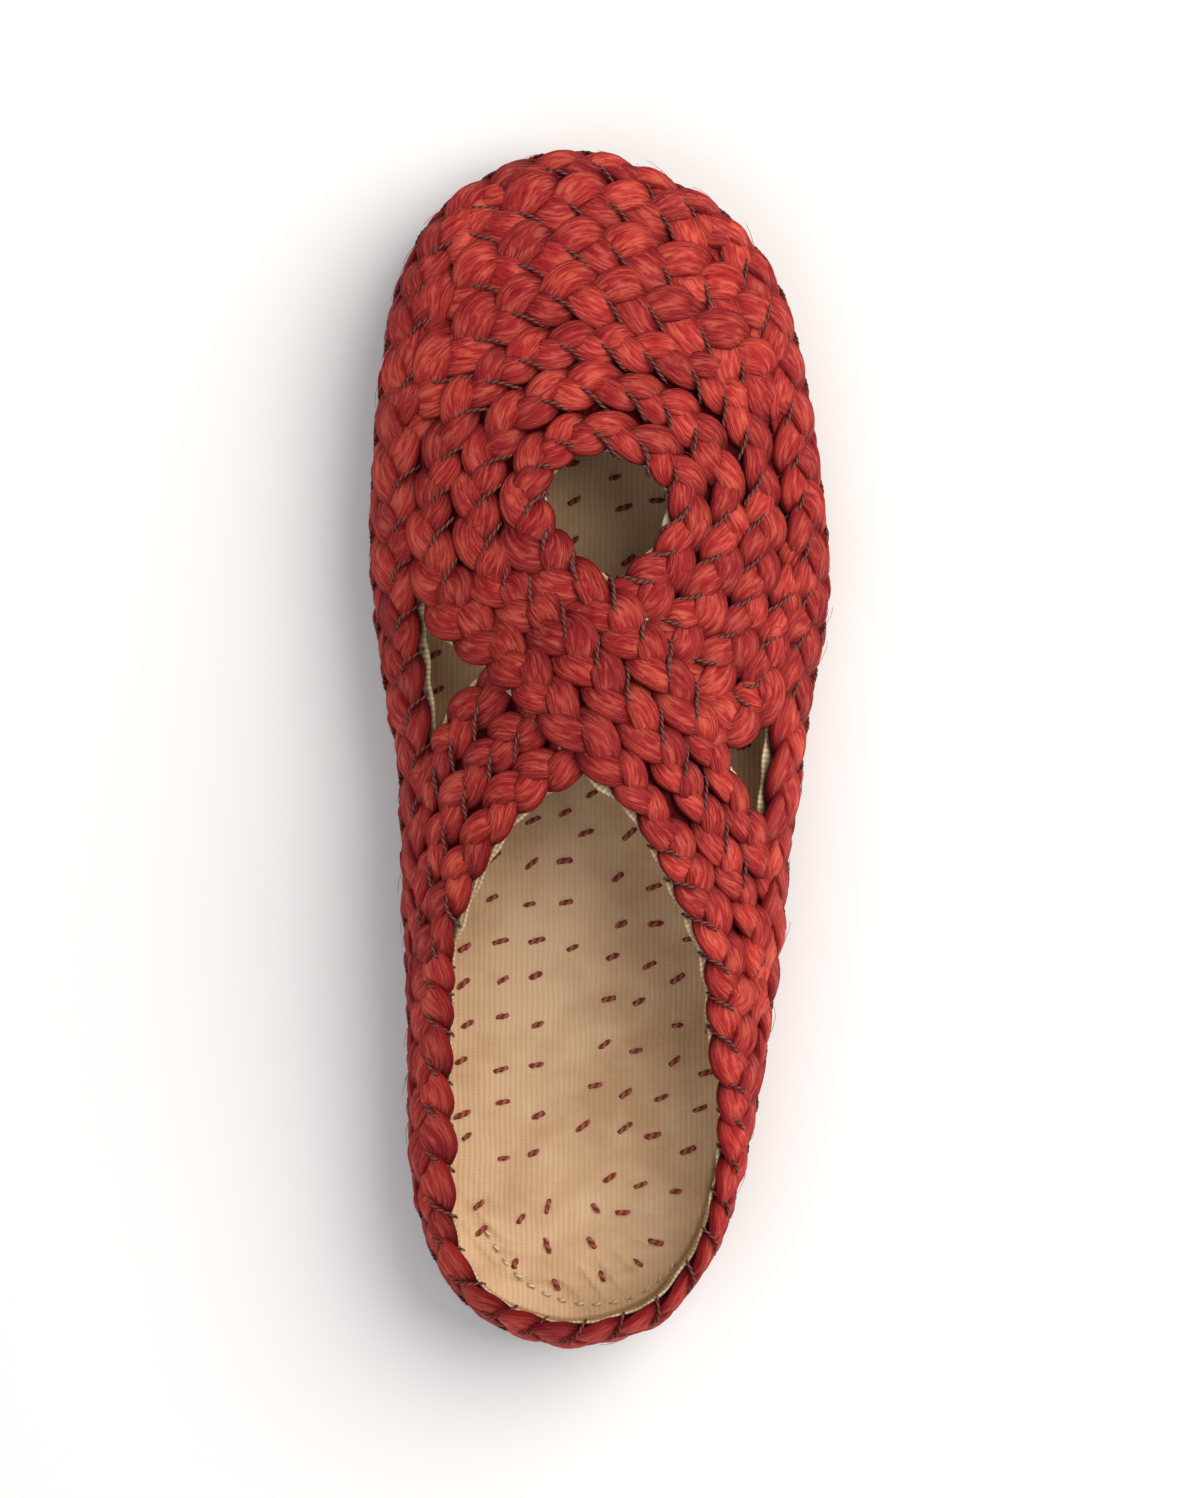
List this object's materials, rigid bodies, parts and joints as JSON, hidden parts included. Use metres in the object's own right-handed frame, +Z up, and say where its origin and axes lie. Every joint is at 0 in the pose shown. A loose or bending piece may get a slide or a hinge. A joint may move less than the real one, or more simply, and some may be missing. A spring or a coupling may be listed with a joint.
{
  "type": "plaited mule slipper",
  "caption": "Right-foot mule of red plaited raffia over canvas: crossed straps over the instep, a round hole over the toes, a slot at each side, low heel rim and plaited sole.",
  "frame": {"origin": "middle of the bounding box in plan, on the floor under the sole", "axes": "+Y towards the toe, +X towards the outer (lateral) side of the right foot, +Z up"},
  "size_m": [0.097, 0.2494, 0.0528],
  "materials": {
    "sole_plait": "dyed plaited raffia, worn",
    "canvas": "unbleached ribbed cotton canvas",
    "upper_plait": "dyed plaited raffia, slightly glossy"
  },
  "bodies": {
    "root": {"outsole": "sole_plait", "insole": "canvas", "welt_plait": "upper_plait", "upper": "upper_plait"}
  },
  "joints": []
}
